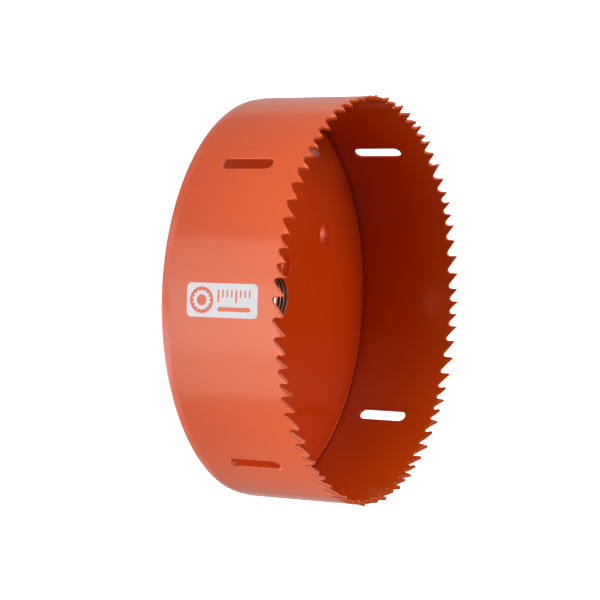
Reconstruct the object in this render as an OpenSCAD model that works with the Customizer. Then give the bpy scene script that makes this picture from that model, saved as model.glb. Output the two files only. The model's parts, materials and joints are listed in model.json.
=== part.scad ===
// Large hole saw: a ring of rolled steel strip with a toothed edge, welded round a thick back plate.
// It stands on its back face at z = 0 with the teeth up, and its axis is the Z axis.
// Angles run counter-clockwise seen from the teeth. All sizes are in millimetres and degrees.

/* [Wall] */
// Outside diameter of the rolled wall
body_d = 151.4; // [136:0.1:210]
// Height from the back face to the tooth tips
cup_h = 48.2; // [42:0.1:80]
// Thickness of the rolled strip
wall_t = 1.3; // [1:0.1:3]
// Height of the tapered band at the back edge
taper_h = 3.3; // [1:0.1:6]
// How far the taper draws the wall in
taper_in = 0.4; // [0.1:0.05:0.6]
// Small bevel that breaks the back corner
corner_bevel = 0.3; // [0.1:0.05:0.35]

/* [Slots] */
// Number of slots round the wall
slot_count = 4; // [2:1:8]
// Width of a slot, measured round the wall
slot_w = 4.7; // [3:0.1:8]
// Length of a slot from end to end, measured along the axis
slot_l = 19.7; // [12:0.1:26]

/* [Teeth] */
// Mean pitch of the teeth
tooth_pitch = 5.96; // [5:0.02:9]
// Depth of a gullet of mean pitch
gullet_depth = 3.55; // [3.2:0.05:4.2]
// Radius of the gullet floor
gullet_r = 1.25; // [0.8:0.05:1.4]
// Width of the flat at each tip
tip_land = 0.25; // [0.1:0.05:0.5]
// How far a set tooth leans in or out at its tip
tooth_set = 0.5; // [0.2:0.05:0.8]
// Height of the part of a tooth that is bent
set_h = 2; // [1:0.1:2.4]
// Angle of the first tooth of the first group
first_tooth = -30.2; // [-180:0.1:180]

/* [Back plate] */
// Thickness of the back plate
plate_t = 6.1; // [4.5:0.1:12]
// Bevel round both edges of the plate's rim
rim_bevel = 0.5; // [0.2:0.05:1]

/* [Arbor bore] */
// Diameter at the crests of the bore's thread
thread_d = 14.5; // [10:0.1:17]
// Depth of the countersink in the back, where the arbor enters
countersink = 1.3; // [0.5:0.1:2]
// Full angle of that countersink
countersink_angle = 118; // [80:1:120]
// Chamfer at the front end of the bore
front_chamfer = 0.4; // [0.2:0.1:1]

/* [Drive-pin holes] */
// Number of drive-pin holes
pin_count = 2; // [2:1:4]
// Pitch circle of the drive-pin holes
pin_pcd = 26.4; // [26:0.1:40]
// Diameter of a drive-pin hole
pin_d = 7.3; // [4:0.1:7.5]
// Angle of the first drive-pin hole
pin_angle = -75; // [-180:1:180]

/* [Knock-out holes] */
// Number of knock-out holes
knockout_count = 2; // [1:1:6]
// Pitch circle of the knock-out holes
knockout_pcd = 91.8; // [60:0.1:110]
// Diameter of a knock-out hole
knockout_d = 9; // [5:0.1:16]
// Angle of the first knock-out hole
knockout_angle = -108; // [-180:1:180]

/* [Hidden] */

$fn = 180;
paint = [0.84, 0.27, 0.11];

// Extra reach of a cutting shape past the face that it cuts
over = 1;

wall_out_r = body_d / 2;
wall_in_r = wall_out_r - wall_t;

// One group of teeth: each pitch as a share of the mean, and which way each tooth leans
PITCH_SHARES = [1.07, 1.19, 1.13, 1.04, 0.84, 0.87, 0.86];
LEANS = [-1, 0, 1, -1, 1, -1, 1];
// The teeth left over after the last whole group close the ring, and are a little finer
CLOSING_SHARE = 0.92;
// How strongly the depth of a gullet follows its pitch
DEPTH_POWER = 0.7;
// Where one tooth's bent part may end and the next may begin, as shares of the gullet between them
SECTOR_END = 0.12;
SECTOR_START = 0.3;
// How far the round floor of a gullet bites into its two straight sides
FLOOR_BITE = 0.05;

group_size = len(PITCH_SHARES);
tooth_count = round(PI * body_d / tooth_pitch);
grouped_teeth = group_size * floor(tooth_count / group_size);

function pitch_share(i) = i < grouped_teeth ? PITCH_SHARES[i % group_size] : CLOSING_SHARE;
function lean(i) = i < grouped_teeth ? LEANS[i % group_size] : 1 - 2 * ((i - grouped_teeth) % 2);
function shares_before(i) = i == 0 ? 0 : shares_before(i - 1) + pitch_share(i - 1);

degrees_per_share = 360 / shares_before(tooth_count);
mm_per_share = PI * body_d / shares_before(tooth_count);
tip_angles = [for (i = [0:tooth_count]) first_tooth + degrees_per_share * shares_before(i)];
bend_z = cup_h - set_h;

// Section of the strip from the back edge to the line where the teeth bend
module strip_section() {
    taper_r = wall_out_r - taper_in;
    polygon([
        [wall_in_r, 0],
        [taper_r - corner_bevel, 0],
        [taper_r, corner_bevel],
        [wall_out_r, taper_h],
        [wall_out_r, bend_z],
        [wall_in_r, bend_z]
    ]);
}

// Section of the bent part of a tooth, whose tip is shifted in or out
module tooth_section(shift) {
    polygon([
        [wall_in_r, bend_z],
        [wall_out_r, bend_z],
        [wall_out_r + shift, cup_h],
        [wall_in_r + shift, cup_h]
    ]);
}

// Blank of tooth i, from inside the gullet before it to just past its rake face
module tooth_blank(i) {
    before = i == 0 ? tooth_count - 1 : i - 1;
    from = tip_angles[i] - (1 - SECTOR_START) * degrees_per_share * pitch_share(before);
    to = tip_angles[i] + SECTOR_END * degrees_per_share * pitch_share(i);
    rotate_extrude(angle = to - from, start = from) tooth_section(lean(i) * tooth_set);
}

// Outline of the space between two teeth, with its middle at x = 0 and the tips at y = 0.
// The rake face stands upright on the left, and the back of the next tooth rises to the right.
module gullet_outline(pitch, depth) {
    rake_x = -pitch / 2;
    back_x = pitch / 2 - tip_land;
    reach = gullet_r - FLOOR_BITE;
    floor_x = rake_x + reach;
    floor_y = gullet_r - depth;
    dx = back_x - floor_x;
    back_angle = atan2(-floor_y, dx) + asin(reach / norm([dx, floor_y]));
    polygon([
        [rake_x, over],
        [rake_x, floor_y],
        [floor_x, floor_y],
        [floor_x + reach * sin(back_angle), floor_y - reach * cos(back_angle)],
        [back_x + over / tan(back_angle), over]
    ]);
    translate([floor_x, floor_y]) circle(r = gullet_r);
}

// Cut that makes the gullet after tooth i, straight through the wall towards the axis
module gullet_cut(i) {
    share = pitch_share(i);
    depth = gullet_depth * pow(share, DEPTH_POWER);
    inside = wall_in_r - tooth_set - over;
    through = wall_t + 2 * tooth_set + 2 * over;
    rotate([0, 0, (tip_angles[i] + tip_angles[i + 1]) / 2])
        translate([inside, 0, cup_h])
            rotate([90, 0, 90])
                linear_extrude(height = through) gullet_outline(share * mm_per_share, depth);
}

// Long slot with round ends, through the wall on the +X side at half the height
module slot_cut() {
    straight = slot_l - slot_w;
    translate([wall_in_r - over, 0, cup_h / 2])
        rotate([90, 0, 90])
            linear_extrude(height = wall_t + 2 * over) {
                square([slot_w, straight], center = true);
                for (end = [-1, 1]) translate([0, end * straight / 2]) circle(d = slot_w);
            }
}

// Copies of the children in even steps round the axis
module around(count, start = 0) {
    for (k = [0:count - 1]) rotate([0, 0, start + k * 360 / count]) children();
}

// Straight hole through the back plate on a pitch circle
module plate_hole(pcd, d) {
    translate([pcd / 2, 0, -over]) cylinder(d = d, h = plate_t + 2 * over);
}

// Bore for the arbor's thread, with a wide countersink in the back and a small chamfer in the front
module arbor_bore() {
    bore_r = thread_d / 2;
    sink_h = countersink + over;
    chamfer_h = front_chamfer + over;
    translate([0, 0, -over]) cylinder(r = bore_r, h = plate_t + 2 * over);
    translate([0, 0, -over])
        cylinder(r1 = bore_r + sink_h * tan(countersink_angle / 2), r2 = bore_r, h = sink_h);
    translate([0, 0, plate_t - front_chamfer])
        cylinder(r1 = bore_r, r2 = bore_r + chamfer_h, h = chamfer_h);
}

// Rolled strip with the teeth cut in its front edge
module cup_wall() {
    color(paint) difference() {
        union() {
            rotate_extrude() strip_section();
            for (i = [0:tooth_count - 1]) tooth_blank(i);
        }
        for (i = [0:tooth_count - 1]) gullet_cut(i);
        around(slot_count) slot_cut();
    }
}

// Thick round plate that fills the back of the ring
module back_plate() {
    color(paint) difference() {
        rotate_extrude() polygon([
            [0, 0],
            [wall_in_r - rim_bevel, 0],
            [wall_in_r, rim_bevel],
            [wall_in_r, plate_t - rim_bevel],
            [wall_in_r - rim_bevel, plate_t],
            [0, plate_t]
        ]);
        arbor_bore();
        around(pin_count, pin_angle) plate_hole(pin_pcd, pin_d);
        around(knockout_count, knockout_angle) plate_hole(knockout_pcd, knockout_d);
    }
}

cup_wall();
back_plate();
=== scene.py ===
"""Visual model of a large hole saw that stands on its back plate with its teeth up.

The saw is a strip of steel, punched flat, rolled into a ring and welded round a thick back plate.
The script makes it in the same order: the strip and the print are drawn flat, and one node tree
rolls them. Sizes of the saw and its finishes are in millimetres, those of the studio are in
metres, and textures are scaled in cells for each metre.
"""

import json
import logging
import math
from dataclasses import dataclass
from enum import Enum

import bmesh
import bpy
from mathutils import Matrix, Vector


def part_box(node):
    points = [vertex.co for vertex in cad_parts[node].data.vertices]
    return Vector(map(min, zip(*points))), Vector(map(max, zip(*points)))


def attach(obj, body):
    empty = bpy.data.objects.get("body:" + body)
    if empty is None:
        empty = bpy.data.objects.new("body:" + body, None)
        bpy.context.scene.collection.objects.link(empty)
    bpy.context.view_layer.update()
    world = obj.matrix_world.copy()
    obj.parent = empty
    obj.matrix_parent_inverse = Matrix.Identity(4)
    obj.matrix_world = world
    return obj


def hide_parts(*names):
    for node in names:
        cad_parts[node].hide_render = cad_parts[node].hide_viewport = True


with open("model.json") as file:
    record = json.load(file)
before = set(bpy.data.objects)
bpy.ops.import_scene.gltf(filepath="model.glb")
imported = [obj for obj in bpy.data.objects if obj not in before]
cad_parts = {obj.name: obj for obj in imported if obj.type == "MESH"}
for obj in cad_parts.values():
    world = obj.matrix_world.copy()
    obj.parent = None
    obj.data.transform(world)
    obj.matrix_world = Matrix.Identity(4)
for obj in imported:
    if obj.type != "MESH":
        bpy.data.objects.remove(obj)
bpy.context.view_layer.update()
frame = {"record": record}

LOG = logging.getLogger("hole_saw")
MM = 0.001
BODY = "root"

# Points of a flat outline as (x, y), and of a turned profile as (radius, height)
Outline = list[tuple[float, float]]
Profile = list[tuple[float, float]]


def mount(name: str) -> dict:
    """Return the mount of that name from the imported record, with its dims in millimetres."""
    return next(m for m in frame["record"]["mounts"] if m["name"] == name)


def add_object(name: str, data: bpy.types.ID) -> bpy.types.Object:
    """Add an object to the scene, at the origin.

    Args:
        name: The object's name.
        data: Its mesh, light or camera.

    Returns:
        The new object.
    """
    made = bpy.data.objects.new(name, data)
    bpy.context.scene.collection.objects.link(made)
    return made


class Lean(Enum):
    """Which way the tip of a tooth is bent."""

    IN = -1
    STRAIGHT = 0
    OUT = 1


class Face(Enum):
    """A face of the strip. The value is the sign of its distance from the middle of the strip."""

    OUTER = 1
    INNER = -1


class Graph:
    """Adds and links nodes in a shader or geometry node tree."""

    def __init__(self, tree: bpy.types.NodeTree) -> None:
        """Keep the tree that the nodes go into."""
        self.tree = tree

    def node(self, kind: str, **settings: object) -> bpy.types.Node:
        """Add a node.

        Args:
            kind: The node's type name.
            settings: Properties of the node, such as its operation.

        Returns:
            The new node.
        """
        made = self.tree.nodes.new(kind)
        for key, value in settings.items():
            setattr(made, key, value)
        return made

    def feed(self, socket: bpy.types.NodeSocket, value: object) -> None:
        """Link a socket to another node's output, or set its own value.

        Args:
            socket: The input socket.
            value: An output socket, or a plain value.
        """
        if isinstance(value, bpy.types.NodeSocket):
            self.tree.links.new(value, socket)
        else:
            socket.default_value = value

    def math(self, operation: str, *values: object, clamp: bool = False) -> bpy.types.NodeSocket:
        """Add a math node.

        Args:
            operation: The math node's operation.
            values: Its inputs in order, as sockets or numbers.
            clamp: Whether the result is kept between 0 and 1.

        Returns:
            The node's output.
        """
        made = self.node("ShaderNodeMath", operation=operation, use_clamp=clamp)
        for socket, value in zip(made.inputs, values):
            self.feed(socket, value)
        return made.outputs[0]

    def mix(self, factor: bpy.types.NodeSocket, start: object, end: object) -> bpy.types.NodeSocket:
        """Add a node that mixes two colours.

        Args:
            factor: 0 for the start and 1 for the end.
            start: A colour, or an output that gives one.
            end: A colour, or an output that gives one.

        Returns:
            The mixed colour.
        """
        made = self.node("ShaderNodeMix", data_type="RGBA")
        for number, value in ((0, factor), (6, start), (7, end)):
            self.feed(made.inputs[number], value)
        return made.outputs[2]

    def split(self, vector: bpy.types.NodeSocket) -> tuple[bpy.types.NodeSocket, ...]:
        """Split a vector.

        Args:
            vector: The vector's output socket.

        Returns:
            Its three numbers.
        """
        made = self.node("ShaderNodeSeparateXYZ")
        self.feed(made.inputs[0], vector)
        return tuple(made.outputs)

    def round_axis(self, radius: object, angle: object, up: object) -> bpy.types.NodeSocket:
        """Find a place round the Z axis.

        Args:
            radius: Distance from the axis.
            angle: Angle in radians.
            up: Height.

        Returns:
            The place, as a vector.
        """
        made = self.node("ShaderNodeCombineXYZ")
        self.feed(made.inputs[0], self.math("MULTIPLY", radius, self.math("COSINE", angle)))
        self.feed(made.inputs[1], self.math("MULTIPLY", radius, self.math("SINE", angle)))
        self.feed(made.inputs[2], up)
        return made.outputs[0]

    def object_place(self) -> bpy.types.NodeSocket:
        """Return the Object coordinates of the point that is shaded."""
        return self.node("ShaderNodeTexCoord").outputs["Object"]


# Finishes


def new_material(name: str) -> tuple[bpy.types.Material, Graph, bpy.types.Node]:
    """Make a material with one Principled shader.

    Args:
        name: The material's name.

    Returns:
        The material, its graph and the Principled node.
    """
    material = bpy.data.materials.new(name)
    material.use_nodes = True
    return material, Graph(material.node_tree), material.node_tree.nodes["Principled BSDF"]


def noise(graph: Graph, scale: float, detail: float) -> bpy.types.NodeSocket:
    """Add a noise texture on Object coordinates.

    Args:
        graph: The material's graph.
        scale: Cells for each metre.
        detail: Octaves of finer noise.

    Returns:
        The noise's value.
    """
    texture = graph.node("ShaderNodeTexNoise")
    graph.feed(texture.inputs["Vector"], graph.object_place())
    graph.feed(texture.inputs["Scale"], scale)
    graph.feed(texture.inputs["Detail"], detail)
    return texture.outputs["Fac"]


def ramp(graph: Graph, value: bpy.types.NodeSocket, low: float, high: float, start: object,
         end: object) -> bpy.types.NodeSocket:
    """Blend between two numbers or two colours as a value goes from low to high.

    Args:
        graph: The material's graph.
        value: What drives the blend.
        low: The value that gives the start.
        high: The value that gives the end.
        start: A number or a colour.
        end: A number or a colour.

    Returns:
        The blended output.
    """
    reach = graph.node("ShaderNodeMapRange")
    graph.feed(reach.inputs["Value"], value)
    graph.feed(reach.inputs["From Min"], low)
    graph.feed(reach.inputs["From Max"], high)
    if isinstance(start, tuple):
        return graph.mix(reach.outputs["Result"], start, end)
    graph.feed(reach.inputs["To Min"], start)
    graph.feed(reach.inputs["To Max"], end)
    return reach.outputs["Result"]


def relief(graph: Graph, shader: bpy.types.Node, pattern: bpy.types.NodeSocket, height: float,
           strength: float = 1.0) -> None:
    """Give a surface fine relief.

    Args:
        graph: The material's graph.
        shader: The Principled node.
        pattern: The pattern of the relief, from 0 to 1.
        height: How high the pattern stands, in millimetres.
        strength: How much of the relief is felt.
    """
    bump = graph.node("ShaderNodeBump")
    graph.feed(bump.inputs["Strength"], strength)
    graph.feed(bump.inputs["Distance"], height * MM)
    graph.feed(bump.inputs["Height"], pattern)
    graph.feed(shader.inputs["Normal"], bump.outputs["Normal"])


@dataclass(frozen=True)
class EnamelPaint:
    """Sprayed and baked orange-red enamel, with a faint orange peel and a few specks of dust.

    The colour turns lighter up the saw, from the low colour to the high one, and drifts in clouds: painted
    shade towards the back edge and painted light towards the teeth.
    """

    name: str = "orange_red_enamel"
    # Painted shade low on the saw and painted light high up, ramped by height in millimetres
    low_colour: tuple = (0.53, 0.050, 0.0006, 1.0)
    high_colour: tuple = (0.77, 0.096, 0.0018, 1.0)
    low_height: float = -12.0
    high_height: float = 60.0
    wander: float = 20.0
    cloud_scale: float = 28.0
    speck_colour: tuple = (0.10, 0.012, 0.004, 1.0)
    speck_scale: float = 160.0
    speck_size: float = 0.05
    speck_share: float = 0.1
    roughness: tuple = (0.19, 0.25)
    peel_scale: float = 900.0
    peel_height: float = 0.012
    coat_weight: float = 0.33
    coat_roughness: float = 0.12

    def specks(self, graph: Graph) -> bpy.types.NodeSocket:
        """Draw the rare specks of dust.

        Args:
            graph: The material's graph.

        Returns:
            1 inside a speck and 0 elsewhere.
        """
        cells = graph.node("ShaderNodeTexVoronoi", feature="F1")
        graph.feed(cells.inputs["Vector"], graph.object_place())
        graph.feed(cells.inputs["Scale"], self.speck_scale)
        small = graph.math("LESS_THAN", cells.outputs["Distance"], self.speck_size)
        draw = graph.node("ShaderNodeSeparateColor")
        graph.feed(draw.inputs[0], cells.outputs["Color"])
        chosen = graph.math("LESS_THAN", draw.outputs[0], self.speck_share)
        return graph.math("MULTIPLY", small, chosen)

    def build(self) -> bpy.types.Material:
        """Make the material.

        Returns:
            The material.
        """
        material, graph, shader = new_material(self.name)
        clouds = noise(graph, self.cloud_scale, 3.0)
        _, _, up = graph.split(graph.object_place())
        drift = graph.math("MULTIPLY", graph.math("SUBTRACT", clouds, 0.5), self.wander * MM)
        # Painted light and shade: the colour turns lighter with height, towards the teeth
        film = ramp(graph, graph.math("ADD", up, drift), self.low_height * MM, self.high_height * MM,
                    self.low_colour, self.high_colour)
        graph.feed(shader.inputs["Base Color"], graph.mix(self.specks(graph), film, self.speck_colour))
        graph.feed(shader.inputs["Roughness"], ramp(graph, clouds, 0.0, 1.0, *self.roughness))
        relief(graph, shader, noise(graph, self.peel_scale, 1.0), self.peel_height)
        graph.feed(shader.inputs["Coat Weight"], self.coat_weight)
        graph.feed(shader.inputs["Coat Roughness"], self.coat_roughness)
        return material


@dataclass(frozen=True)
class BareSteel:
    """Tapped steel, lighter on the crests of the thread and darker between them, as painted highlight and
    painted shade.

    The paint has run a little way into both ends of the bore; its colour there is darkened as painted
    shade.
    """

    crest_radius: float
    name: str = "bare_tapped_steel"
    # Painted highlight on the crests of the thread and painted shade in its roots
    painted_crest_highlight: tuple = (0.26, 0.17, 0.13, 1.0)
    painted_root_shade: tuple = (0.055, 0.020, 0.013, 1.0)
    # The run-in paint, darker than the enamel as painted shade in the bore
    paint: tuple = (0.26, 0.036, 0.0030, 1.0)
    crest_fade: float = 0.10
    bare_from: float = 1.95
    bare_to: float = 4.65
    paint_wander: float = 0.5
    paint_scale: float = 260.0
    wear_scale: float = 700.0
    wear_reach: tuple = (0.3, 0.7)
    roughness: tuple = (0.25, 0.40)
    mark_scale: float = 2600.0
    mark_height: float = 0.004
    mark_strength: float = 0.6

    def bare(self, graph: Graph, up: bpy.types.NodeSocket) -> bpy.types.NodeSocket:
        """Find where the paint has not run over the steel.

        Args:
            graph: The material's graph.
            up: Height above the back face.

        Returns:
            1 on bare steel and 0 on paint.
        """
        drift = graph.math("SUBTRACT", noise(graph, self.paint_scale, 2.0), 0.5)
        line = graph.math("ADD", up, graph.math("MULTIPLY", drift, self.paint_wander * MM))
        over = graph.math("GREATER_THAN", line, self.bare_from * MM)
        under = graph.math("LESS_THAN", line, self.bare_to * MM)
        return graph.math("MULTIPLY", over, under)

    def build(self) -> bpy.types.Material:
        """Make the material.

        Returns:
            The material.
        """
        material, graph, shader = new_material(self.name)
        x, y, up = graph.split(graph.object_place())
        squared = graph.math("ADD", graph.math("POWER", x, 2.0), graph.math("POWER", y, 2.0))
        # Painted highlight on the crests, fading to painted shade in the roots, by radius
        steel = ramp(graph, graph.math("SQRT", squared), (self.crest_radius + self.crest_fade) * MM,
                     (self.crest_radius + 2 * self.crest_fade) * MM, self.painted_crest_highlight, self.painted_root_shade)
        bare = self.bare(graph, up)
        graph.feed(shader.inputs["Base Color"], graph.mix(bare, self.paint, steel))
        graph.feed(shader.inputs["Metallic"], bare)
        wear = noise(graph, self.wear_scale, 2.0)
        graph.feed(shader.inputs["Roughness"], ramp(graph, wear, *self.wear_reach, *self.roughness))
        relief(graph, shader, noise(graph, self.mark_scale, 2.0), self.mark_height, self.mark_strength)
        return material


@dataclass(frozen=True)
class PrintInk:
    """White screen-printing ink, slightly uneven where it lies on the paint."""

    name: str = "white_print_ink"
    thin: tuple = (0.64, 0.61, 0.65, 1.0)
    full: tuple = (0.67, 0.67, 0.74, 1.0)
    roughness: float = 0.42
    grain_scale: float = 1500.0
    grain_reach: tuple = (0.25, 0.6)
    grain_height: float = 0.006

    def build(self) -> bpy.types.Material:
        """Make the material.

        Returns:
            The material.
        """
        material, graph, shader = new_material(self.name)
        grain = noise(graph, self.grain_scale, 3.0)
        graph.feed(shader.inputs["Base Color"], ramp(graph, grain, *self.grain_reach, self.thin, self.full))
        graph.feed(shader.inputs["Roughness"], self.roughness)
        relief(graph, shader, grain, self.grain_height)
        return material


# Rolling


@dataclass
class RollingMill:
    """Rolls flat work into a ring: X runs round the ring, -Y points out of it and Z stays up."""

    in_radius: float
    height: float
    thickness: float = 1.3
    first_angle: float = -30.2
    bend_height: float = 2.0
    tooth_set: float = 0.5
    tree_name: str = "roll_strip"
    weld_distance: float = 0.002

    INPUTS = ("Roll Radius", "Strip Length", "First Angle", "Bend Line", "Tip Height", "Tooth Set")

    @property
    def out_radius(self) -> float:
        """Radius of the ring's outer face."""
        return self.in_radius + self.thickness

    @property
    def strip_length(self) -> float:
        """Length of the strip, taken along its outer face."""
        return 2 * math.pi * self.out_radius

    def along(self, angle: float) -> float:
        """Return the place along the strip that comes to lie at an angle, in degrees."""
        return (angle - self.first_angle) % 360.0 / 360.0 * self.strip_length

    def values(self) -> dict[str, float]:
        """List what each named input of the tree is set to.

        Returns:
            The values by the input's name, in metres and radians.
        """
        return {
            "Roll Radius": (self.out_radius - self.thickness / 2) * MM,
            "Strip Length": self.strip_length * MM,
            "First Angle": math.radians(self.first_angle),
            "Bend Line": (self.height - self.bend_height) * MM,
            "Tip Height": self.height * MM,
            "Tooth Set": self.tooth_set * MM,
        }

    def tree(self) -> bpy.types.NodeTree:
        """Return the tree that rolls the work, made once."""
        known = bpy.data.node_groups.get(self.tree_name)
        return known or self.make_tree()

    def make_tree(self) -> bpy.types.NodeTree:
        """Make the tree that rolls the work, sets the teeth and welds the strip's two ends.

        Returns:
            The tree.
        """
        graph, given = start_tree(self.tree_name, self.INPUTS)
        along, depth, up = graph.split(graph.node("GeometryNodeInputPosition").outputs[0])
        turn = graph.math("MULTIPLY", graph.math("DIVIDE", along, given["Strip Length"]), 2 * math.pi)
        angle = graph.math("ADD", turn, given["First Angle"])
        lean = graph.node("GeometryNodeInputNamedAttribute", data_type="FLOAT")
        graph.feed(lean.inputs["Name"], "lean")
        above = graph.math("SUBTRACT", up, given["Bend Line"])
        bent = graph.math("SUBTRACT", given["Tip Height"], given["Bend Line"])
        share = graph.math("DIVIDE", above, bent, clamp=True)
        leaning = graph.math("MULTIPLY", share, lean.outputs["Attribute"])
        shift = graph.math("MULTIPLY", leaning, given["Tooth Set"])
        radius = graph.math("ADD", graph.math("SUBTRACT", given["Roll Radius"], depth), shift)
        rolled = graph.round_axis(radius, angle, up)
        finish_tree(graph, given["Geometry"], rolled, given["Finish"], self.weld_distance)
        return graph.tree

    def roll(self, flat: bpy.types.Object, finish: bpy.types.Material) -> None:
        """Roll a flat piece for good, and give it its finish."""
        apply_tree(flat, self.tree(), {**self.values(), "Finish": finish})


def start_tree(name: str, inputs: tuple[str, ...]) -> tuple[Graph, object]:
    """Start a geometry node tree that takes a piece, named numbers and a finish.

    Args:
        name: The tree's name.
        inputs: The names of the numbers.

    Returns:
        The tree's graph, and the sockets of its inputs by name.
    """
    tree = bpy.data.node_groups.new(name, "GeometryNodeTree")
    face = tree.interface
    face.new_socket("Geometry", in_out="INPUT", socket_type="NodeSocketGeometry")
    for label in inputs:
        face.new_socket(label, in_out="INPUT", socket_type="NodeSocketFloat")
    face.new_socket("Finish", in_out="INPUT", socket_type="NodeSocketMaterial")
    face.new_socket("Geometry", in_out="OUTPUT", socket_type="NodeSocketGeometry")
    graph = Graph(tree)
    return graph, graph.node("NodeGroupInput").outputs


def finish_tree(graph: Graph, geometry: bpy.types.NodeSocket, position: bpy.types.NodeSocket,
                finish: bpy.types.NodeSocket, weld_distance: float) -> None:
    """End a tree: place the points, weld the seams, shade smooth, make it real and dress it.

    Args:
        graph: The tree's graph.
        geometry: The flat geometry.
        position: Where each point goes.
        finish: The tree's material input.
        weld_distance: How near points are welded, in millimetres.
    """
    place = graph.node("GeometryNodeSetPosition")
    graph.feed(place.inputs["Position"], position)
    weld = graph.node("GeometryNodeMergeByDistance")
    graph.feed(weld.inputs["Distance"], weld_distance * MM)
    smooth = graph.node("GeometryNodeSetShadeSmooth")
    real = graph.node("GeometryNodeRealizeInstances")
    dress = graph.node("GeometryNodeSetMaterial")
    graph.feed(dress.inputs["Material"], finish)
    for step in (place, weld, smooth, real, dress):
        graph.feed(step.inputs["Geometry"], geometry)
        geometry = step.outputs["Geometry"]
    graph.feed(graph.node("NodeGroupOutput").inputs["Geometry"], geometry)


def apply_tree(piece: bpy.types.Object, tree: bpy.types.NodeTree, values: dict[str, object]) -> None:
    """Run a geometry node tree on a piece and keep the result as its plain mesh.

    Args:
        piece: The piece that is changed.
        tree: The tree that is run.
        values: What each named input is set to.
    """
    modifier = piece.modifiers.new(tree.name, "NODES")
    modifier.node_group = tree
    for socket in tree.interface.items_tree:
        if socket.in_out == "INPUT" and socket.name in values:
            modifier[socket.identifier] = values[socket.name]
    bpy.context.view_layer.update()
    evaluated = piece.evaluated_get(bpy.context.evaluated_depsgraph_get())
    mesh = bpy.data.meshes.new_from_object(evaluated)
    mesh.name = piece.name
    piece.modifiers.clear()
    old = piece.data
    piece.data = mesh
    bpy.data.meshes.remove(old)


def finish_mesh(work: bmesh.types.BMesh, name: str) -> bpy.types.Object:
    """Turn a bmesh into a smooth-shaded object at the origin, and free it.

    Args:
        work: The bmesh, in metres.
        name: The object's name.

    Returns:
        The object, in the scene.
    """
    for face in work.faces:
        face.smooth = True
    mesh = bpy.data.meshes.new(name)
    work.to_mesh(mesh)
    work.free()
    return add_object(name, mesh)


def new_piece(name: str, points: list[tuple], faces: list[tuple]) -> bpy.types.Object:
    """Make an object at the origin from points in millimetres.

    Args:
        name: The object's name.
        points: Its vertices, in millimetres.
        faces: The vertex numbers of each face.

    Returns:
        The object, in the scene.
    """
    mesh = bpy.data.meshes.new(name)
    mesh.from_pydata([tuple(c * MM for c in p) for p in points], [], faces)
    return add_object(name, mesh)


def hand_over(piece: bpy.types.Object, slot: str, *nodes: str) -> None:
    """Put a finished piece on the saw's body, and log its size.

    Args:
        piece: The finished piece.
        slot: The record's material slot; not used.
        nodes: The solids that it stands for.
    """
    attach(piece, BODY)
    if nodes:
        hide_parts(*nodes)
    piece.data.calc_loop_triangles()
    LOG.info("%s: %d triangles", piece.name, len(piece.data.loop_triangles))


# The cup


@dataclass(frozen=True)
class EdgePoint:
    """A point of the toothed edge on the flat strip.

    u runs along the strip and z up it. du and dz are the mitred step out of the steel for one
    millimetre, foot is where the point's column of faces meets the foot line, and lean is the
    way that its tooth is bent.
    """

    u: float
    z: float
    du: float
    dz: float
    foot: float
    lean: Lean


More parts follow.
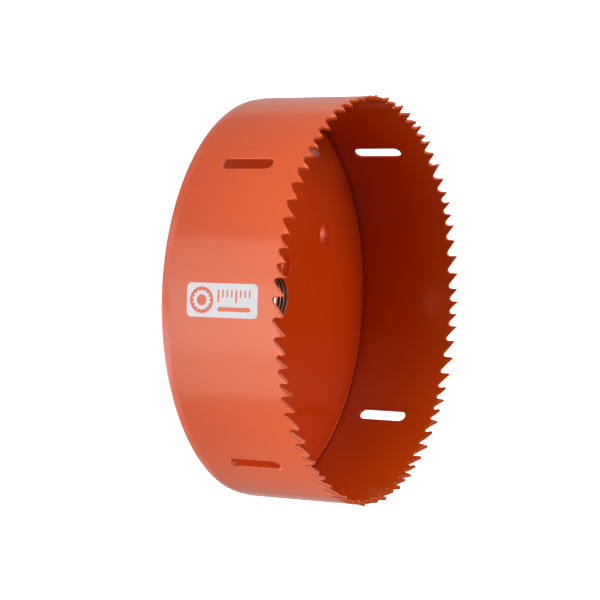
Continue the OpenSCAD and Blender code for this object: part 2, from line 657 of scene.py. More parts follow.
@dataclass
class ToothEdge:
    """The toothed edge of the flat strip: teeth in groups of varied pitch and set.

    foot_room is how far before a tooth's rake face the columns of faces meet the foot line, for
    the end of its back, the two corners of its tip, and the top and foot of its rake face.
    """

    length: float
    height: float
    mean_pitch: float = 5.96
    pitch_shares: tuple = (1.07, 1.19, 1.13, 1.04, 0.84, 0.87, 0.86)
    leans: tuple = (Lean.IN, Lean.STRAIGHT, Lean.OUT, Lean.IN, Lean.OUT, Lean.IN, Lean.OUT)
    closing_share: float = 0.92
    gullet_depth: float = 3.55
    depth_power: float = 0.7
    gullet_radius: float = 1.25
    tip_land: float = 0.25
    rake_steps: int = 4
    floor_steps: int = 9
    back_steps: int = 5
    first_step: float = 0.45
    foot_room: tuple = (0.95, 0.75, 0.55, 0.42, 0.08)

    @property
    def count(self) -> int:
        """Number of teeth."""
        return round(self.length / self.mean_pitch)

    def is_grouped(self, tooth: int) -> bool:
        """Tell whether a tooth belongs to a whole group."""
        group = len(self.pitch_shares)
        return tooth < self.count // group * group

    def share(self, tooth: int) -> float:
        """Return the pitch after a tooth, as a share of the mean."""
        grouped = self.pitch_shares[tooth % len(self.pitch_shares)]
        return grouped if self.is_grouped(tooth) else self.closing_share

    def lean(self, tooth: int) -> Lean:
        """Look up which way a tooth is bent.

        Args:
            tooth: The tooth's number, counted on past the last one if need be.

        Returns:
            The way of its tip.
        """
        tooth %= self.count
        if self.is_grouped(tooth):
            return self.leans[tooth % len(self.leans)]
        ahead = sum(not self.is_grouped(t) for t in range(tooth))
        return Lean.IN if ahead % 2 else Lean.OUT

    def gullet(self, tooth: int, start: float, pitch: float) -> list[EdgePoint]:
        """Draw the edge from the tip of a tooth to just before the next tip.

        Args:
            tooth: The tooth's number.
            start: Where its rake face stands along the strip.
            pitch: The distance to the next rake face.

        Returns:
            The points in order along the strip.
        """
        radius = self.gullet_radius
        depth = self.gullet_depth * self.share(tooth) ** self.depth_power
        floor = (start + radius, self.height - depth + radius)
        tip = (start + pitch - self.tip_land, self.height)
        run, rise = tip[0] - floor[0], tip[1] - floor[1]
        slope = math.atan2(rise, run) + math.asin(radius / math.hypot(run, rise))
        here, there = self.lean(tooth), self.lean(tooth + 1)
        end_foot, tip_foot, top_foot, rake_foot, floor_foot = self.foot_room
        points = [EdgePoint(start, self.height, 1, 1, start - top_foot, here)]
        for k in range(self.rake_steps):
            part = k / self.rake_steps
            z = (self.height - self.first_step) * (1 - part) + floor[1] * part
            foot = start - rake_foot + (rake_foot - floor_foot) * part
            points.append(EdgePoint(start, z, 1, 0, foot, here))
        for k in range(self.floor_steps):
            turn = math.pi + (math.pi / 2 + slope) * k / (self.floor_steps - 1)
            out = (math.cos(turn), math.sin(turn))
            u = floor[0] + radius * out[0]
            lean = here if turn < 1.5 * math.pi else there
            points.append(EdgePoint(u, floor[1] + radius * out[1], -out[0], -out[1], u, lean))
        back_start = (floor[0] + radius * math.sin(slope), floor[1] - radius * math.cos(slope))
        back_length = math.hypot(tip[0] - back_start[0], tip[1] - back_start[1])
        for k in range(1, self.back_steps + 1):
            reach = (back_length - self.first_step) * k / self.back_steps
            u = back_start[0] + reach * math.cos(slope)
            z = back_start[1] + reach * math.sin(slope)
            part = k / self.back_steps
            foot = back_start[0] * (1 - part) + (start + pitch - end_foot) * part
            points.append(EdgePoint(u, z, -math.sin(slope), math.cos(slope), foot, there))
        mitre = -math.tan(slope / 2)
        points.append(EdgePoint(tip[0], tip[1], mitre, 1, start + pitch - tip_foot, there))
        return points

    def points(self) -> list[EdgePoint]:
        """Draw the whole edge, from the first tip to the same tip one turn on.

        Returns:
            The points in order along the strip.
        """
        scale = self.length / sum(self.share(t) for t in range(self.count))
        start, points = 0.0, []
        for tooth in range(self.count):
            pitch = self.share(tooth) * scale
            points += self.gullet(tooth, start, pitch)
            start += pitch
        first = points[0]
        points.append(EdgePoint(first.u + self.length, first.z, first.du, first.dz,
                                first.foot + self.length, first.lean))
        return points


@dataclass
class Slots:
    """Long slots with round ends through the wall, for chips and for levering out the plug.

    Each slot lies in a patch of faces, and rings at ring_gaps from its outline close in on it.
    """

    middle_height: float
    count: int = 4
    width: float = 4.7
    length: float = 19.7
    edge_radius: float = 0.5
    patch_width: float = 12.0
    patch_margin: float = 4.3
    side_slopes: tuple = (42.0, 30.0, 15.0, 0.0)
    ring_gaps: tuple = (2.4, 1.3, 0.8)
    round_angles: tuple = (0.0, 30.0, 60.0, 90.0)

    @property
    def half_straight(self) -> float:
        """Half the length of a slot's straight sides."""
        return (self.length - self.width) / 2

    def patch_heights(self) -> tuple[float, float]:
        """Return the lower and upper end of the patch of faces round a slot."""
        reach = self.length / 2 + self.patch_margin
        return self.middle_height - reach, self.middle_height + reach

    def side_heights(self) -> list[float]:
        """Find the heights of the points on a patch's side.

        Returns:
            The heights, from the top down.
        """
        beyond = [self.patch_width / 2 * math.tan(math.radians(a)) for a in self.side_slopes]
        upper = [self.middle_height + self.half_straight + b for b in beyond]
        lower = [2 * self.middle_height - z for z in reversed(upper)]
        return [*upper, self.middle_height, *lower]

    def ring(self, loop: Outline, middle: float, gap: float) -> Outline:
        """Draw the ring at a distance from a slot's outline that matches a loop round it.

        Args:
            loop: The points of the loop, as (u, z).
            middle: Where the slot's middle line is along the strip.
            gap: The ring's distance from the outline.

        Returns:
            One point for each point of the loop.
        """
        low = self.middle_height - self.half_straight
        high = self.middle_height + self.half_straight
        ring = []
        for u, z in loop:
            core = Vector((middle, min(max(z, low), high)))
            step = (Vector((u, z)) - core).normalized() * (self.width / 2 + gap)
            ring.append(tuple(core + step))
        return ring


class FlatMesh:
    """Points and faces of flat work, with the lean of each point."""

    def __init__(self) -> None:
        """Start with no points."""
        self.points: list[tuple[float, float, float]] = []
        self.leans: list[float] = []
        self.faces: list[tuple[int, ...]] = []

    def add(self, u: float, depth: float, z: float, lean: Lean = Lean.STRAIGHT) -> int:
        """Add a point.

        Args:
            u: Its place along the strip.
            depth: Its distance from the middle of the strip, positive outwards.
            z: Its height.
            lean: The way in which the tooth above it is bent.

        Returns:
            The point's number.
        """
        self.points.append((u, -depth, z))
        self.leans.append(float(lean.value))
        return len(self.points) - 1

    def band(self, upper: list[int], lower: list[int], closed: bool = False) -> None:
        """Join two rows of points that run the same way.

        Args:
            upper: The row above, as point numbers.
            lower: The row below.
            closed: Whether the rows are rings.
        """
        count = len(upper)
        for k in range(count if closed else count - 1):
            nxt = (k + 1) % count
            self.faces.append((upper[k], lower[k], lower[nxt], upper[nxt]))

    def make(self, name: str) -> bpy.types.Object:
        """Make the piece, with the lean as an attribute of its points.

        Args:
            name: The piece's name.

        Returns:
            The flat piece.
        """
        piece = new_piece(name, self.points, self.faces)
        attribute = piece.data.attributes.new("lean", "FLOAT", "POINT")
        attribute.data.foreach_set("value", self.leans)
        return piece


@dataclass
class CupWall:
    """The rolled strip: a toothed front edge, slots, and a tapered back edge.

    taper gives the outer face at the back edge, as heights and distances in from the face.
    """

    edge: ToothEdge
    slots: Slots
    mill: RollingMill
    paint: bpy.types.Material
    edge_radius: float = 0.15
    foot_drop: float = 6.6
    blend_steps: tuple = (0.12, 0.3, 0.55, 0.8)
    round_angles: tuple = (90.0, 60.0, 30.0, 0.0)
    taper: tuple = ((4.0, 0.0), (3.3, 0.012), (2.9, 0.055), (1.7, 0.21), (0.8, 0.335), (0.45, 0.40),
                    (0.22, 0.52), (0.06, 0.69), (0.0, 0.86))
    inner_corner: float = 0.12

    def row(self, flat: FlatMesh, inset: float, depth: float) -> list[int]:
        """Add a row of points inset from the toothed edge, at a depth from the strip's middle."""
        return [flat.add(p.u - inset * p.du, depth, p.z - inset * p.dz, p.lean) for p in self.columns]

    def tooth_rows(self, flat: FlatMesh, face: Face) -> list[list[int]]:
        """Add the rounded edge and the tooth faces on one side.

        Args:
            flat: The mesh that gets the rows.
            face: The side.

        Returns:
            The rows of point numbers, from the edge to the foot line.
        """
        half = self.mill.thickness / 2
        rows = []
        for angle in map(math.radians, self.round_angles):
            inset = self.edge_radius * (1 - math.sin(angle))
            depth = half - self.edge_radius * (1 - math.cos(angle))
            rows.append(self.row(flat, inset, face.value * depth))
        foot_z = self.mill.height - self.foot_drop
        for part in (*self.blend_steps, 1.0):
            row = []
            for p in self.columns:
                top = (p.u - self.edge_radius * p.du, p.z - self.edge_radius * p.dz)
                u = top[0] * (1 - part) + p.foot * part
                z = top[1] * (1 - part) + foot_z * part
                row.append(flat.add(u, face.value * half, z, p.lean))
            rows.append(row)
        return rows

    def plain_row(self, flat: FlatMesh, z: float, depth: float) -> list[int]:
        """Add a level row of points under the foot line."""
        return [flat.add(p.foot, depth, z) for p in self.columns]

    def slot_columns(self, middle: float) -> tuple[int, int]:
        """Find the columns between which the patch round a slot lies.

        Args:
            middle: Where the slot's middle line is along the strip.

        Returns:
            The first and the last column.
        """
        half = self.slots.patch_width / 2
        first = max(k for k, p in enumerate(self.columns) if p.foot <= middle - half)
        last = min(k for k, p in enumerate(self.columns) if p.foot >= middle + half)
        return first, last

    def cut_slots(self, flat: FlatMesh, outer: tuple[list, list], inner: tuple[list, list]) -> None:
        """Fill the band that holds the slots, on both faces, with a slot in each patch.

        Args:
            flat: The mesh that gets the faces.
            outer: The band's upper and lower row on the outer face.
            inner: The same on the inner face.
        """
        half = self.mill.thickness / 2
        middles = [self.mill.along(360.0 * k / self.slots.count) for k in range(self.slots.count)]
        patches = [self.slot_columns(m) for m in middles]
        columns = {c for patch in patches for c in patch}
        sides = {face: {} for face in Face}
        for face in Face:
            for c in columns:
                sides[face][c] = [flat.add(self.columns[c].foot, face.value * half, z)
                                  for z in self.slots.side_heights()]
        for face, (upper, lower) in ((Face.OUTER, outer), (Face.INNER, inner)):
            self.plain_band(flat, face, upper, lower, patches, sides[face])
        for middle, (first, last) in zip(middles, patches):
            loops = [self.patch_loop(outer, first, last, sides[Face.OUTER]),
                     self.patch_loop(inner, first, last, sides[Face.INNER])]
            self.slot_patch(flat, middle, loops)

    def plain_band(self, flat: FlatMesh, face: Face, upper: list, lower: list, patches: list,
                   sides: dict) -> None:
        """Fill the band between the slots' patches.

        Args:
            flat: The mesh that gets the faces.
            face: The side that is filled.
            upper: The band's upper row.
            lower: The band's lower row.
            patches: The first and last column of each patch.
            sides: The points on the patches' sides, by column. The cells beside them take them in.
        """
        covered = {c for first, last in patches for c in range(first, last)}
        for c in range(len(upper) - 1):
            if c in covered:
                continue
            left = [upper[c], *sides.get(c, []), lower[c]]
            right = [lower[c + 1], *reversed(sides.get(c + 1, [])), upper[c + 1]]
            cell = left + right
            flat.faces.append(tuple(cell if face is Face.OUTER else reversed(cell)))

    @staticmethod
    def patch_loop(rows: tuple[list, list], first: int, last: int, sides: dict) -> list[int]:
        """Trace the border of a patch, clockwise as the outer face shows it.

        Args:
            rows: The band's upper and lower row.
            first: The patch's first column.
            last: The patch's last column.
            sides: The points on the patches' sides, by column.

        Returns:
            The point numbers of the border.
        """
        upper, lower = rows
        return [*upper[first:last + 1], *sides[last],
                *reversed(lower[first:last + 1]), *reversed(sides[first])]

    def slot_patch(self, flat: FlatMesh, middle: float, loops: list[list[int]]) -> None:
        """Fill a patch with rings that close in on the slot, and join its two faces through the slot.

        Args:
            flat: The mesh that gets the rings.
            middle: Where the slot's middle line is along the strip.
            loops: The patch's border on the outer and on the inner face.
        """
        half, radius = self.mill.thickness / 2, self.slots.edge_radius
        border = [(flat.points[n][0], flat.points[n][2]) for n in loops[0]]
        levels = [(gap, half) for gap in self.slots.ring_gaps]
        for angle in map(math.radians, self.slots.round_angles):
            levels.append((radius * (1 - math.sin(angle)), half - radius * (1 - math.cos(angle))))
        inner_levels = [(gap, -depth) for gap, depth in reversed(levels)]
        rings = [loops[0]]
        for gap, depth in levels + inner_levels:
            ring = self.slots.ring(border, middle, gap)
            rings.append([flat.add(u, depth, z) for u, z in ring])
        rings.append(loops[1])
        for before, after in zip(rings, rings[1:]):
            flat.band(before, after, closed=True)

    def flat_strip(self) -> FlatMesh:
        """Draw the punched strip, lying flat.

        Returns:
            The strip's points and faces.
        """
        flat = FlatMesh()
        half = self.mill.thickness / 2
        low, high = self.slots.patch_heights()
        outer = self.tooth_rows(flat, Face.OUTER)
        inner = self.tooth_rows(flat, Face.INNER)
        outer_band = (self.plain_row(flat, high, half), self.plain_row(flat, low, half))
        inner_band = (self.plain_row(flat, high, -half), self.plain_row(flat, low, -half))
        back = [self.plain_row(flat, z, half - inset) for z, inset in self.taper]
        corner = self.inner_corner
        back += [self.plain_row(flat, 0.0, corner - half), self.plain_row(flat, corner, -half)]
        self.cut_slots(flat, outer_band, inner_band)
        runs = [[inner[0], *outer, outer_band[0]],
                [outer_band[1], *back, inner_band[1]],
                [inner_band[0], *reversed(inner)]]
        for run in runs:
            for upper, lower in zip(run, run[1:]):
                flat.band(upper, lower)
        return flat

    def build(self) -> bpy.types.Object:
        """Make the wall.

        Returns:
            The finished piece.
        """
        self.columns = self.edge.points()
        piece = self.flat_strip().make("cup_wall_painted")
        self.mill.roll(piece, self.paint)
        hand_over(piece, "painted_steel", "cup_wall")
        return piece


# The back plate


@dataclass(frozen=True)
class Hole:
    """A round hole through the plate, or its rim, with its profile from the front face to the back."""

    x: float
    y: float
    profile: Profile
    steps: int


@dataclass
class Bore:
    """Sizes of the threaded bore: a chamfer in front, and a wide countersink where the arbor enters."""

    crest_radius: float
    depth: float
    root_radius: float = 7.94
    pitch: float = 1.411
    chamfer: float = 0.4
    sink_depth: float = 1.3
    sink_angle: float = 118.0
    sleeve_radius: float = 8.04
    skin: float = 0.06

    @property
    def sink_slope(self) -> float:
        """How far the countersink widens for each millimetre of depth."""
        return math.tan(math.radians(self.sink_angle / 2))

    @property
    def mouth_radius(self) -> float:
        """Radius of the countersink at the back face."""
        return self.crest_radius + self.sink_depth * self.sink_slope

    def sink_height(self, radius: float) -> float:
        """Return the height at which the countersink has a radius."""
        return self.sink_depth - (radius - self.crest_radius) / self.sink_slope


@dataclass
class BackPlate:
    """The thick plate in the back of the cup, with its bore, drive-pin holes and knock-out holes.

    lip gives the front edge of the rim, as distances out from the edge of the groove beside the
    wall and heights over the front face. crisp is the width of the bands that keep edges sharp,
    and eases are the radii to which the front edges of the holes are rounded.
    """

    radius: float
    bore: Bore
    paint: bpy.types.Material
    rim_bevel: float = 0.5
    rim_steps: int = 320
    bore_steps: int = 144
    hole_steps: int = 72
    pin_angle: float = -75.0
    pin_ease: float = 0.13
    pin_chamfer: float = 0.015
    knockout_pcd: float = 91.8
    knockout_radius: float = 4.5
    knockout_angle: float = -108.0
    knockout_count: int = 2
    knockout_ease: float = 0.22
    knockout_chamfer: float = 0.3
    ease_angles: tuple = (80.0, 55.0, 30.0, 0.0)
    lip: tuple = ((-1.16, 0.0), (-0.64, 0.0), (-0.52, 0.018333), (-0.15, 0.1936), (-0.06, 0.22),
                  (0.02, 0.18), (0.07, 0.1), (0.09, -0.1))
    groove: float = 0.5
    groove_depth: float = 1.2
    groove_foot: float = 0.08
    seat_overlap: float = 0.02
    crisp: float = 0.03

    def rim_profile(self) -> Profile:
        """Draw the rim: a low lip, as a punched plate has, a groove beside the wall, and a bevel behind.

        Returns:
            The profile, from the front face to the back.
        """
        outer, top, bevel, crisp = self.radius, self.bore.depth, self.rim_bevel, self.crisp
        edge, low = outer - self.groove, top - self.groove_depth
        lip = [(edge + out, top + rise) for out, rise in self.lip]
        return [*lip, (outer - 2 * crisp, low), (outer, low - self.groove_foot),
                (outer, bevel + crisp), (outer, bevel), (outer - crisp, bevel - crisp),
                (outer - bevel + crisp, crisp), (outer - bevel, 0.0), (outer - bevel - crisp, 0.0)]

    def hole_profile(self, radius: float, ease: float, chamfer: float) -> Profile:
        """Draw a hole with a rounded edge in front and a chamfer behind.

        Args:
            radius: The hole's radius.
            ease: Radius of the front edge's rounding.
            chamfer: Width of the chamfer in the back face.

        Returns:
            The profile, from the front face to the back.
        """
        top, crisp, mouth = self.bore.depth, self.crisp, radius + chamfer
        profile = [(radius + 1.5 * ease, top)]
        for angle in map(math.radians, self.ease_angles):
            profile.append((radius + ease * (1 - math.cos(angle)), top - ease * (1 - math.sin(angle))))
        return [*profile, (radius, chamfer + 2 * crisp), (radius, chamfer + crisp),
                (radius + crisp / 2, chamfer), (mouth, crisp / 2), (mouth + crisp, 0.0),
                (mouth + 2 * crisp, 0.0)]

    def bore_profile(self) -> Profile:
        """Draw the bore without its thread, which a sleeve carries.

        In front, the paint reaches over the sleeve's end as far as the chamfer. The small steps
        are the bands that keep the edges sharp.

        Returns:
            The profile, from the front face to the back.
        """
        bore, top, crisp = self.bore, self.bore.depth, self.crisp
        seat, mouth = bore.sleeve_radius - self.seat_overlap, bore.mouth_radius
        lip, shelf = bore.crest_radius + bore.chamfer - bore.skin, top - bore.skin - self.seat_overlap
        neck = [(lip + 0.5, top), (lip + crisp, top), (lip, top - crisp), (lip, shelf + 0.01),
                (lip + crisp, shelf), (seat - 0.05, shelf), (seat, shelf - crisp),
                (seat, bore.sink_height(seat) + 0.04)]
        cone = [(r, bore.sink_height(r)) for r in (seat, seat + 0.05, mouth - 0.08, mouth - crisp)]
        return [*neck, *cone, (mouth, 0.0), (mouth + crisp, 0.0)]

    def holes(self) -> list[Hole]:
        """List every hole of the plate.

        Returns:
            The bore, the drive-pin holes and the knock-out holes.
        """
        pins = mount("drive_pin_holes")["dims"]
        pin_profile = self.hole_profile(pins["hole_r_mm"], self.pin_ease, self.pin_chamfer)
        knock_profile = self.hole_profile(self.knockout_radius, self.knockout_ease, self.knockout_chamfer)
        return [Hole(0.0, 0.0, self.bore_profile(), self.bore_steps),
                *self.circle(pins["count"], pins["pcd_mm"], self.pin_angle, pin_profile),
                *self.circle(self.knockout_count, self.knockout_pcd, self.knockout_angle, knock_profile)]

    def circle(self, count: int, pcd: float, start: float, profile: Profile) -> list[Hole]:
        """Set equal holes in even steps on a pitch circle.

        Args:
            count: How many holes there are.
            pcd: Diameter of the pitch circle.
            start: Angle of the first hole, in degrees.
            profile: The profile of each hole.

        Returns:
            The holes.
        """
        turns = [math.radians(start + 360.0 * k / count) for k in range(count)]
        places = [(pcd / 2 * math.cos(turn), pcd / 2 * math.sin(turn)) for turn in turns]
        return [Hole(x, y, profile, self.hole_steps) for x, y in places]

    def rings(self, work: bmesh.types.BMesh, hole: Hole) -> list[list[bmesh.types.BMVert]]:
        """Add the wall of a hole.

        Args:
            work: The plate's bmesh, in metres.
            hole: The hole, or the rim.

        Returns:
            The wall's rings of points, from the front face to the back face.
        """
        rings = []
        for r, z in hole.profile:
            ring = []
            for n in range(hole.steps):
                turn = 2 * math.pi * n / hole.steps
                point = Vector((hole.x + r * math.cos(turn), hole.y + r * math.sin(turn), z))
                ring.append(work.verts.new(point * MM))
            rings.append(ring)
        for before, after in zip(rings, rings[1:]):
            for n in range(hole.steps):
                nxt = (n + 1) % hole.steps
                work.faces.new((before[n], before[nxt], after[nxt], after[n]))
        return rings

    def build(self) -> bpy.types.Object:
        """Make the plate.

        Returns:
            The finished piece.
        """
        work = bmesh.new()
        rim = Hole(0.0, 0.0, self.rim_profile(), self.rim_steps)
        walls = [self.rings(work, hole) for hole in (rim, *self.holes())]
        for end in (0, -1):
            edges = [work.edges.get((wall[end][n - 1], wall[end][n])) for wall in walls
                     for n in range(len(wall[end]))]
            bmesh.ops.triangle_fill(work, use_beauty=True, use_dissolve=False, edges=edges)
        bmesh.ops.recalc_face_normals(work, faces=work.faces)
        piece = finish_mesh(work, "back_plate_painted")
        piece.data.materials.append(self.paint)
        hand_over(piece, "painted_steel", "back_plate")
        return piece


@dataclass
class ArborThread:
    """The thread of the bore, as a sleeve whose inner face carries the helix.

    Flats are shares of the pitch, from the middle of a crest. The last rows of the grid fold over
    the sleeve's top and down its outer face, and meet the first row again.
    """

    bore: Bore
    steel: bpy.types.Material
    crest_height: float = 0.35
    crest_angle: float = 218.0
    crest_flat: float = 0.125
    root_flat: float = 0.4375
    steps_round: int = 180
    steps_up: int = 120
    folds: int = 4
    brim: float = 0.01
    weld_distance: float = 0.001
    tree_name: str = "thread_sleeve"

    INPUTS = ("Pitch", "Start Height", "Crest Radius", "Root Radius", "Sleeve Radius", "Low End", "Top End",
              "Chamfer", "Sink Depth")

    def values(self) -> dict[str, float]:
        """List what each named input of the tree is set to.

        Returns:
            The values by the input's name, in metres.
        """
        bore = self.bore
        start = self.crest_height - self.crest_angle / 360.0 * bore.pitch - bore.pitch / 2
        sizes = (bore.pitch, start, bore.crest_radius, bore.root_radius, bore.sleeve_radius,
                 bore.sink_height(bore.root_radius), bore.depth - bore.skin, bore.chamfer - bore.skin,
                 bore.sink_depth)
        return {name: size * MM for name, size in zip(self.INPUTS, sizes)}

    def grid(self, graph: Graph) -> bpy.types.NodeSocket:
        """Add the grid that becomes the sleeve, one unit wide and one unit high for each row.

        Args:
            graph: The tree's graph.

        Returns:
            The grid's mesh.
        """
        grid = graph.node("GeometryNodeMeshGrid")
        rows = self.steps_up + self.folds
        sizes = {"Size X": 1.0, "Size Y": float(rows), "Vertices X": self.steps_round + 1,
                 "Vertices Y": rows + 1}
        for name, size in sizes.items():
            graph.feed(grid.inputs[name], size)
        return grid.outputs["Mesh"]

    def make_tree(self) -> bpy.types.NodeTree:
        """Make the tree that turns a grid into the sleeve: X goes round it, Y up its inner face.

        Returns:
            The tree.
        """
        graph, given = start_tree(self.tree_name, self.INPUTS)
        grid = self.grid(graph)
        around, along, _ = graph.split(graph.node("GeometryNodeInputPosition").outputs[0])
        row = graph.math("ROUND", graph.math("ADD", along, (self.steps_up + self.folds) / 2))
        past = [graph.math("GREATER_THAN", row, self.steps_up + k + 0.5) for k in range(self.folds)]
        rise = graph.math("DIVIDE", row, float(self.steps_up), clamp=True)
        rise = graph.math("MULTIPLY", rise, graph.math("SUBTRACT", 1.0, past[2]))
        span = graph.math("SUBTRACT", given["Top End"], given["Low End"])
        up = graph.math("ADD", given["Low End"], graph.math("MULTIPLY", rise, span))
        inner = self.inner_radius(graph, given, around, up)
        outside = graph.math("SUBTRACT", past[0], past[3])
        brim = graph.math("MULTIPLY", graph.math("SUBTRACT", past[0], past[1]), self.brim * MM)
        gap = graph.math("SUBTRACT", graph.math("SUBTRACT", given["Sleeve Radius"], inner), brim)
        radius = graph.math("ADD", inner, graph.math("MULTIPLY", gap, outside))
        place = graph.round_axis(radius, graph.math("MULTIPLY", around, 2 * math.pi), up)
        finish_tree(graph, grid, place, given["Finish"], self.weld_distance)
        return graph.tree

    def inner_radius(self, graph: Graph, given: object, around: object, up: object) -> bpy.types.NodeSocket:
        """Cut the helix with the chamfer and the countersink.

        Args:
            graph: The tree's graph.
            given: The tree's inputs.
            around: Turns round the axis.
            up: Height above the back face.

        Returns:
            The radius of the sleeve's inner face at that place.
        """
        crest = given["Crest Radius"]
        climb = graph.math("DIVIDE", graph.math("SUBTRACT", up, given["Start Height"]), given["Pitch"])
        lead = graph.math("SUBTRACT", climb, around)
        phase = graph.math("ABSOLUTE", graph.math("SUBTRACT", graph.math("FRACT", lead), 0.5))
        flank = graph.math("DIVIDE", graph.math("SUBTRACT", phase, self.crest_flat),
                           self.root_flat - self.crest_flat, clamp=True)
        deep = graph.math("SUBTRACT", given["Root Radius"], crest)
        helix = graph.math("ADD", crest, graph.math("MULTIPLY", flank, deep))
        from_top = graph.math("SUBTRACT", given["Top End"], up)
        chamfer = graph.math("ADD", crest, graph.math("SUBTRACT", given["Chamfer"], from_top))
        from_sink = graph.math("SUBTRACT", given["Sink Depth"], up)
        sink = graph.math("ADD", crest, graph.math("MULTIPLY", from_sink, self.bore.sink_slope))
        return graph.math("MAXIMUM", helix, graph.math("MAXIMUM", chamfer, sink))

    def build(self) -> bpy.types.Object:
        """Make the thread.

        Returns:
            The finished piece.
        """
        piece = new_piece("arbor_thread_bare", [(0.0, 0.0, 0.0)], [])
        apply_tree(piece, self.make_tree(), {**self.values(), "Finish": self.steel})
        hand_over(piece, "bare_steel")
        return piece


# The print


@dataclass
class PrintPanel:
    """A plain printed panel on the wall: a round window with a toothed ring, and a tick scale.

    The panel is drawn with its width along the saw's axis, so that it reads with the teeth on
    the right. Its parts are placed from its middle, and the ticks from the middle of the window.
    """

    mill: RollingMill
    ink: bpy.types.Material
    middle_angle: float = 39.3
    middle_height: float = 24.6
    width: float = 27.8
    tall: float = 11.8
    corner: float = 1.7
    corner_steps: int = 6
    window_radius: float = 4.6
    window_steps: int = 56
    toothed_radius: float = 3.0
    toothed_hole: float = 1.9
    tooth: float = 0.75
    tooth_count: int = 14
    tick_count: int = 8
    tick_start: float = 6.6
    tick_step: float = 1.75
    tick_width: float = 0.62
    tick_lengths: tuple = (4.4, 2.6, 2.6, 2.6)
    tick_top: float = 3.7
    tick_corner: float = 0.2
    bar_place: float = -3.0
    bar_tall: float = 1.5
    bar_corner: float = 0.7
    film: float = 0.03
    sunk: float = 0.01
    column: float = 0.4
    crease_angle: float = 40.0

    def rounded(self, x: float, y: float, width: float, tall: float, corner: float) -> Outline:
        """Draw a rectangle with round corners.

        Args:
            x: Where its middle is along the panel.
            y: Where its middle is across the panel.
            width: Its size along the panel.
            tall: Its size across the panel.
            corner: Radius of its corners.

        Returns:
            The outline.
        """
        points = []
        for k, (sx, sy) in enumerate(((1, 1), (-1, 1), (-1, -1), (1, -1))):
            cx, cy = x + sx * (width / 2 - corner), y + sy * (tall / 2 - corner)
            for step in range(self.corner_steps + 1):
                turn = math.radians(90 * k + 90 * step / self.corner_steps)
                points.append((cx + corner * math.cos(turn), cy + corner * math.sin(turn)))
        return points

    def ring(self, x: float, radius: float, tooth: float = 0.0) -> Outline:
        """Draw a circle, or a toothed circle.

        Args:
            x: Where its middle is along the panel.
            radius: Its radius, between the teeth.
            tooth: How far its teeth stand out.

        Returns:
            The outline.
        """
        steps = self.tooth_count * 2 if tooth else self.window_steps
        points = []
        for k in range(steps):
            turn = 2 * math.pi * k / steps
            reach = radius + (tooth if k % 2 else 0.0)
            points.append((x + reach * math.cos(turn), reach * math.sin(turn)))
        return points

    def shapes(self) -> list[list[Outline]]:
        """Draw the inked areas.

        Returns:
            The areas, each as its outline followed by the outlines of its holes.
        """
        window = -self.width / 2 + self.tall / 2
        board = self.rounded(0.0, 0.0, self.width, self.tall, self.corner)
        holes = [self.ring(window, self.window_radius)]
        first, reach = window + self.tick_start, (self.tick_count - 1) * self.tick_step
        for k in range(self.tick_count):
            length = self.tick_lengths[k % len(self.tick_lengths)]
            holes.append(self.rounded(first + k * self.tick_step, self.tick_top - length / 2,
                                      self.tick_width, length, self.tick_corner))
        holes.append(self.rounded(first + reach / 2, self.bar_place, reach + self.tick_width,
                                  self.bar_tall, self.bar_corner))
        saw = [self.ring(window, self.toothed_radius, self.tooth), self.ring(window, self.toothed_hole)]
        return [[board, *holes], saw]

    def flat_panel(self) -> bpy.types.Object:
        """Draw the panel flat: filled, cut into narrow columns and given its film's thickness.

        Returns:
            The flat panel.
        """
        work = bmesh.new()
        for outlines in self.shapes():
            edges = []
            for outline in outlines:
                ring = [work.verts.new((-y, 0.0, x)) for x, y in outline]
                edges += [work.edges.new((ring[n - 1], ring[n])) for n in range(len(ring))]
            bmesh.ops.triangle_fill(work, use_beauty=True, use_dissolve=False, edges=edges)
        cuts = int(self.tall / self.column)
        for k in range(1, cuts):
            u = -self.tall / 2 + self.tall * k / cuts
            geometry = [*work.verts, *work.edges, *work.faces]
            bmesh.ops.bisect_plane(work, geom=geometry, plane_co=(u, 0, 0), plane_no=(1, 0, 0))
        for face in work.faces:
            if face.normal.y > 0:
                face.normal_flip()
        half, start = self.mill.thickness / 2, self.mill.along(self.middle_angle)
        top = bmesh.ops.extrude_face_region(work, geom=list(work.faces), use_keep_orig=True)
        raised = {v for v in top["geom"] if isinstance(v, bmesh.types.BMVert)}
        for vert in work.verts:
            depth = half + self.film if vert in raised else half - self.sunk
            vert.co = Vector((vert.co.x + start, -depth, vert.co.z + self.middle_height)) * MM
        bmesh.ops.recalc_face_normals(work, faces=work.faces)
        return finish_mesh(work, "print_panel")

    def build(self) -> bpy.types.Object:
        """Make the print and lay it round the wall.

        Returns:
            The finished piece.
        """
        piece = self.flat_panel()
        self.mill.roll(piece, self.ink)
        piece.data.set_sharp_from_angle(angle=math.radians(self.crease_angle))
        hand_over(piece, "white_print")
        return piece


# The studio


WHITE = (1.0, 1.0, 1.0)
CREAM = (1.0, 1.0, 0.88)
NEAR = 0.9
FAR = 2.5


def stand(thing: bpy.types.Object, at: Vector, back: Vector, right: Vector) -> None:
    """Stand a lamp or the camera in its place, with its back and its right side turned as given."""
    turn = Matrix((right, back.cross(right), back)).transposed()
    thing.matrix_world = Matrix.Translation(at) @ turn.to_4x4()


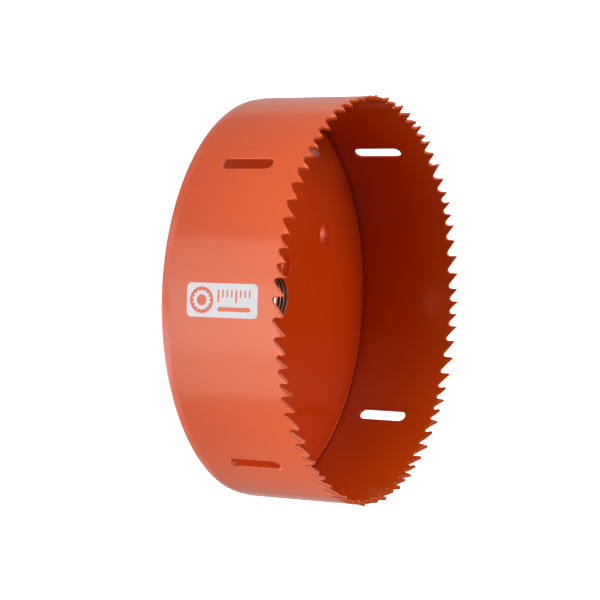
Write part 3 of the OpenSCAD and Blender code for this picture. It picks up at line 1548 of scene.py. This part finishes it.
@dataclass(frozen=True)
class SoftBox:
    """A soft box on a sphere round the saw, which it faces. Angles are in degrees."""

    name: str
    azimuth: float
    elevation: float
    half_width: float
    half_height: float
    radiance: float
    distance: float = NEAR
    colour: tuple = WHITE

    def build(self) -> None:
        """Make the light."""
        turn, rise = math.radians(self.azimuth), math.radians(self.elevation)
        back = Vector((math.cos(rise) * math.cos(turn), math.cos(rise) * math.sin(turn), math.sin(rise)))
        right = Vector((-math.sin(turn), math.cos(turn), 0.0))
        data = bpy.data.lights.new(self.name, "AREA")
        data.shape = "RECTANGLE"
        data.size = 2 * self.distance * math.tan(math.radians(self.half_width))
        data.size_y = 2 * self.distance * math.tan(math.radians(self.half_height))
        data.energy = math.pi * data.size * data.size_y * self.radiance
        data.color = self.colour
        stand(add_object(self.name, data), back * self.distance, back, right)


@dataclass
class Studio:
    """Pale floor, soft boxes all round and the camera at the picture's angle.

    The picture was taken with the saw lying on its side, so that what is above in the picture
    is at azimuth 309 here. The boxes reach below the floor, which lets their light through.
    """

    camera_place: tuple = (0.51344, 0.40143, 0.35401)
    looks_along: tuple = (-0.69964, -0.54583, -0.46106)
    picture_up: tuple = (0.62724, -0.77822, -0.03053)
    camera_clip: tuple = (0.01, 20.0)
    lens: float = 116.29
    sensor: float = 36.0
    floor_size: float = 6.0
    floor_drop: float = 0.0002
    floor_colour: tuple = (0.90, 0.90, 0.90, 1.0)
    floor_roughness: float = 0.9
    floor_glow: float = 1.0
    front_azimuth: float = 48.0
    room_front: float = 0.95
    room_back: float = 0.20
    room_under: float = 0.2
    front_fade: tuple = (-0.25, 0.0)
    under_fade: tuple = (-0.68, -0.54)
    boxes: tuple = (
        SoftBox("front_card", 51.2, -22.0, 39.2, 20.0, 1.12, FAR, CREAM),
        SoftBox("front_strip", 50.0, -20.0, 17.0, 13.0, 0.95, FAR, CREAM),
        SoftBox("front_fill", 50.0, 0.0, 34.0, 8.0, 0.9, FAR),
        SoftBox("under_front", 14.0, -46.0, 16.0, 7.0, 0.9, FAR),
        SoftBox("under_side", 98.0, -46.0, 14.0, 7.0, 0.6, FAR),
        SoftBox("behind_plate", 122.0, -68.0, 42.0, 18.0, 1.9, FAR),
        SoftBox("beyond_saw", 232.0, -27.0, 38.0, 18.0, 0.22),
        SoftBox("table_in_picture", 140.0, 4.0, 28.0, 10.0, 2.95),
        SoftBox("ceiling_in_picture", 325.0, 4.0, 25.0, 10.0, 3.45),
        SoftBox("key_in_picture", 312.0, 45.0, 30.0, 22.0, 0.5),
        SoftBox("key_side", 350.0, 30.0, 20.0, 12.0, 0.35),
        SoftBox("low_in_picture", 112.0, 42.0, 25.0, 15.0, 0.35),
        SoftBox("facing_teeth", 250.0, 72.0, 30.0, 18.0, 1.28),
        SoftBox("facing_teeth_high", 312.0, 62.0, 30.0, 12.0, 1.1),
        SoftBox("along_axis", 218.0, 88.0, 12.0, 12.0, 1.9),
        SoftBox("behind_saw", 248.0, 13.0, 28.0, 17.0, 1.0),
    )

    def camera(self) -> None:
        """Place the camera where the picture was taken from."""
        data = bpy.data.cameras.new("camera")
        data.lens, data.sensor_width = self.lens, self.sensor
        data.clip_start, data.clip_end = self.camera_clip
        camera = add_object("camera", data)
        back = -Vector(self.looks_along).normalized()
        right = Vector(self.picture_up).cross(back).normalized()
        stand(camera, Vector(self.camera_place), back, right)
        bpy.context.scene.camera = camera

    def floor(self) -> None:
        """Lay a pale floor that is seen, but neither shades nor lights the saw."""
        half, low = self.floor_size / 2, -self.floor_drop
        mesh = bpy.data.meshes.new("floor")
        corners = [(-half, -half, low), (half, -half, low), (half, half, low), (-half, half, low)]
        mesh.from_pydata(corners, [], [(0, 1, 2, 3)])
        floor = add_object("floor", mesh)
        material, graph, shader = new_material("pale_floor")
        values = {"Base Color": self.floor_colour, "Roughness": self.floor_roughness,
                  "Specular IOR Level": 0.0, "Emission Color": (*WHITE, 1.0),
                  "Emission Strength": self.floor_glow}
        for name, value in values.items():
            graph.feed(shader.inputs[name], value)
        mesh.materials.append(material)
        floor.visible_diffuse = floor.visible_glossy = floor.visible_transmission = False
        floor.visible_shadow = False

    def world(self) -> None:
        """Surround the set with a room: dark above, pale below in front, and faintly lit underneath."""
        world = bpy.data.worlds.new("studio_room")
        world.use_nodes = True
        graph = Graph(world.node_tree)
        sky = world.node_tree.nodes["Background"]
        graph.feed(sky.inputs["Color"], (*WHITE, 1.0))
        way = graph.node("ShaderNodeTexCoord").outputs["Generated"]
        front = math.radians(self.front_azimuth)
        ahead = graph.node("ShaderNodeVectorMath", operation="DOT_PRODUCT")
        graph.feed(ahead.inputs[0], way)
        graph.feed(ahead.inputs[1], (math.cos(front), math.sin(front), 0.0))
        _, _, up = graph.split(way)
        walls = ramp(graph, ahead.outputs["Value"], -1.0, 1.0, self.room_back, self.room_front)
        walls = graph.math("MULTIPLY", walls, ramp(graph, up, *self.front_fade, 1.0, 0.0))
        under = ramp(graph, up, *self.under_fade, self.room_under, 0.0)
        graph.feed(sky.inputs["Strength"], graph.math("ADD", walls, under))
        bpy.context.scene.world = world
        bpy.context.scene.view_settings.view_transform = "Standard"

    def build(self) -> None:
        """Set up the whole studio."""
        self.camera()
        self.floor()
        self.world()
        for box in self.boxes:
            box.build()


def main() -> None:
    """Build the saw from the strip to the print, and the studio round it."""
    logging.basicConfig(level=logging.INFO, format="%(name)s %(message)s")
    Studio().build()
    _, plate_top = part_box("back_plate")
    _, wall_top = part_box("cup_wall")
    plate_radius, plate_thickness = plate_top.x / MM, plate_top.z / MM
    mill = RollingMill(in_radius=plate_radius, height=wall_top.z / MM)
    bore = Bore(crest_radius=mount("arbor_thread")["dims"]["r_mm"], depth=plate_thickness)
    # A lighter copy of the enamel for the plate, as painted light on the disc
    plate_lit_paint = EnamelPaint(name="orange_red_enamel_plate_lit", low_colour=(0.68, 0.050, 0.0006, 1.0),
                              high_colour=(0.74, 0.062, 0.0012, 1.0))
    CupWall(edge=ToothEdge(length=mill.strip_length, height=mill.height),
            slots=Slots(middle_height=mill.height / 2), mill=mill, paint=EnamelPaint().build()).build()
    BackPlate(radius=plate_radius, bore=bore, paint=plate_lit_paint.build()).build()
    ArborThread(bore=bore, steel=BareSteel(crest_radius=bore.crest_radius).build()).build()
    PrintPanel(mill=mill, ink=PrintInk().build()).build()


if __name__ == "__main__":
    main()
